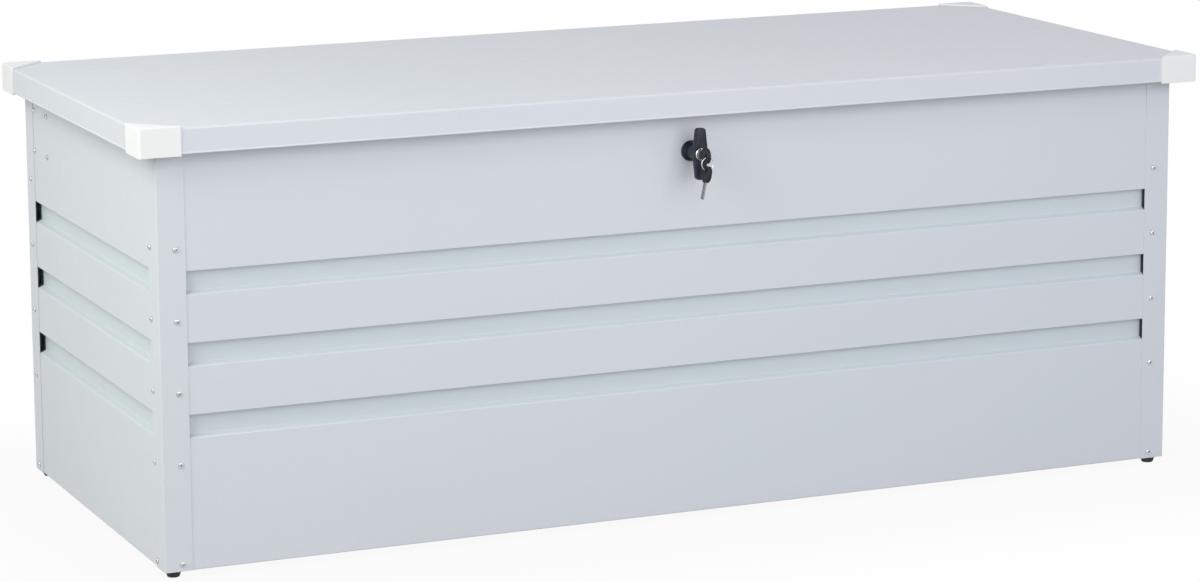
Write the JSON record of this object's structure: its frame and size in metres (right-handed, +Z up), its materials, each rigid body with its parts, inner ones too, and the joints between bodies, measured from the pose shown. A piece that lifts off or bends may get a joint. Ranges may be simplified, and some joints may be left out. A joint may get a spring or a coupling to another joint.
{
  "type": "outdoor storage chest",
  "caption": "Long sheet-metal storage chest on rubber feet with grooved panels, a flat overhanging lid on gas struts and a keyed T-handle lock.",
  "frame": {"origin": "on the floor, under the middle of the whole chest with its keys", "axes": "+X along the length to the right of someone facing the lock, +Y from the front to the rear, +Z up"},
  "size_m": [1.65, 0.7412, 0.6325],
  "materials": {
    "body_paint": "satin silver-grey powder coat",
    "lid_paint": "satin silver-grey powder coat",
    "zinc_sheet": "zinc-coated sheet",
    "zinc_steel": "zinc plated",
    "white_plastic": "smooth white plastic",
    "black_rubber": "matt black rubber",
    "black_plastic": "matt black plastic",
    "black_enamel": "gloss black",
    "polished_rod": "polished",
    "bright_ring": "polished",
    "plug_metal": "worn nickel",
    "key_steel": "nickel plated"
  },
  "bodies": {
    "chest": {"front_panel": "body_paint", "rear_panel": "body_paint", "left_side_panel": "body_paint", "right_side_panel": "body_paint", "front_left_post": "body_paint", "front_right_post": "body_paint", "rear_right_post": "body_paint", "rear_left_post": "body_paint", "front_left_bracket": "zinc_sheet", "front_right_bracket": "zinc_sheet", "rear_right_bracket": "zinc_sheet", "rear_left_bracket": "zinc_sheet", "front_left_foot": "black_rubber", "front_right_foot": "black_rubber", "rear_right_foot": "black_rubber", "rear_left_foot": "black_rubber", "foot_bolts": "zinc_steel", "foot_nuts": "zinc_steel", "panel_screws": "zinc_steel", "left_floor_channel": "zinc_sheet", "middle_floor_channel": "zinc_sheet", "right_floor_channel": "zinc_sheet", "left_floor_sheet": "zinc_sheet", "right_floor_sheet": "zinc_sheet", "lid_buffers": "black_rubber", "left_hinge_plate": "zinc_steel", "right_hinge_plate": "zinc_steel", "hinge_pins": "zinc_steel", "hinge_spacers": "black_plastic", "lower_strut_studs": "zinc_steel", "lock_housing": "black_enamel", "lock_nut": "zinc_steel"},
    "lid": {"lid_sheet": "lid_paint", "front_left_cap": "white_plastic", "front_right_cap": "white_plastic", "rear_right_cap": "white_plastic", "rear_left_cap": "white_plastic", "left_lid_rib": "lid_paint", "middle_lid_rib": "lid_paint", "right_lid_rib": "lid_paint", "left_hinge_arm": "zinc_steel", "right_hinge_arm": "zinc_steel", "lid_rivets": "zinc_steel", "upper_strut_studs": "zinc_steel", "lock_catch": "zinc_steel"},
    "left_strut_cylinder": {"left_strut_cylinder": "black_enamel"},
    "right_strut_cylinder": {"right_strut_cylinder": "black_enamel"},
    "left_strut_rod": {"left_strut_rod": "polished_rod"},
    "right_strut_rod": {"right_strut_rod": "polished_rod"},
    "handle": {"t_handle": "black_enamel", "lock_cam": "zinc_steel", "cam_screw": "zinc_steel", "plug_ring": "bright_ring"},
    "plug": {"lock_plug": "plug_metal"},
    "key": {"key": "key_steel", "key_bow": "black_plastic"},
    "key_ring": {"key_ring": "key_steel"},
    "spare_key": {"spare_key": "key_steel", "spare_key_bow": "black_plastic"}
  },
  "joints": [
    {"name": "lid_hinge", "type": "hinge", "parent": "chest", "child": "lid", "pos_m": [0, 0.3326, 0.573], "axis": [-1, 0, 0], "range_deg": [0, 80], "stiffness_Nm_per_rad": 8, "springref_deg": 171.89},
    {"name": "left_strut_cylinder_turn", "type": "hinge", "parent": "lid", "child": "left_strut_cylinder", "pos_m": [-0.773, 0.22635, 0.60147], "axis": [-1, 0, 0], "range_deg": [-40, 0]},
    {"name": "left_strut_rod_turn", "type": "hinge", "parent": "chest", "child": "left_strut_rod", "pos_m": [-0.773, 0.28611, 0.47331], "axis": [-1, 0, 0], "range_deg": [0, 40]},
    {"name": "right_strut_cylinder_turn", "type": "hinge", "parent": "lid", "child": "right_strut_cylinder", "pos_m": [0.773, 0.22635, 0.60147], "axis": [-1, 0, 0], "range_deg": [-40, 0]},
    {"name": "right_strut_rod_turn", "type": "hinge", "parent": "chest", "child": "right_strut_rod", "pos_m": [0.773, 0.28611, 0.47331], "axis": [-1, 0, 0], "range_deg": [0, 40]},
    {"name": "handle_turn", "type": "hinge", "parent": "chest", "child": "handle", "pos_m": [0, -0.3022, 0.541], "axis": [0, 1, 0], "range_deg": [0, 90]},
    {"name": "plug_turn", "type": "hinge", "parent": "handle", "child": "plug", "pos_m": [0, -0.3022, 0.541], "axis": [0, -1, 0], "range_deg": [0, 90]},
    {"name": "key_pull", "type": "slide", "parent": "plug", "child": "key", "axis": [0, -1, 0], "range_m": [0, 0.03]},
    {"name": "ring_swing", "type": "hinge", "parent": "key", "child": "key_ring", "pos_m": [0, -0.3596, 0.53949], "axis": [1, 0, 0], "range_deg": [-20, 20]},
    {"name": "spare_swing", "type": "hinge", "parent": "key_ring", "child": "spare_key", "pos_m": [0, -0.3596, 0.52109], "axis": [1, 0, 0], "range_deg": [-20, 20]}
  ],
  "couplings": [
    {"joint": "left_strut_cylinder_turn", "follows": "lid_hinge", "ratio": -0.5},
    {"joint": "left_strut_rod_turn", "follows": "lid_hinge", "ratio": 0.5},
    {"joint": "right_strut_cylinder_turn", "follows": "lid_hinge", "ratio": -0.5},
    {"joint": "right_strut_rod_turn", "follows": "lid_hinge", "ratio": 0.5}
  ]
}
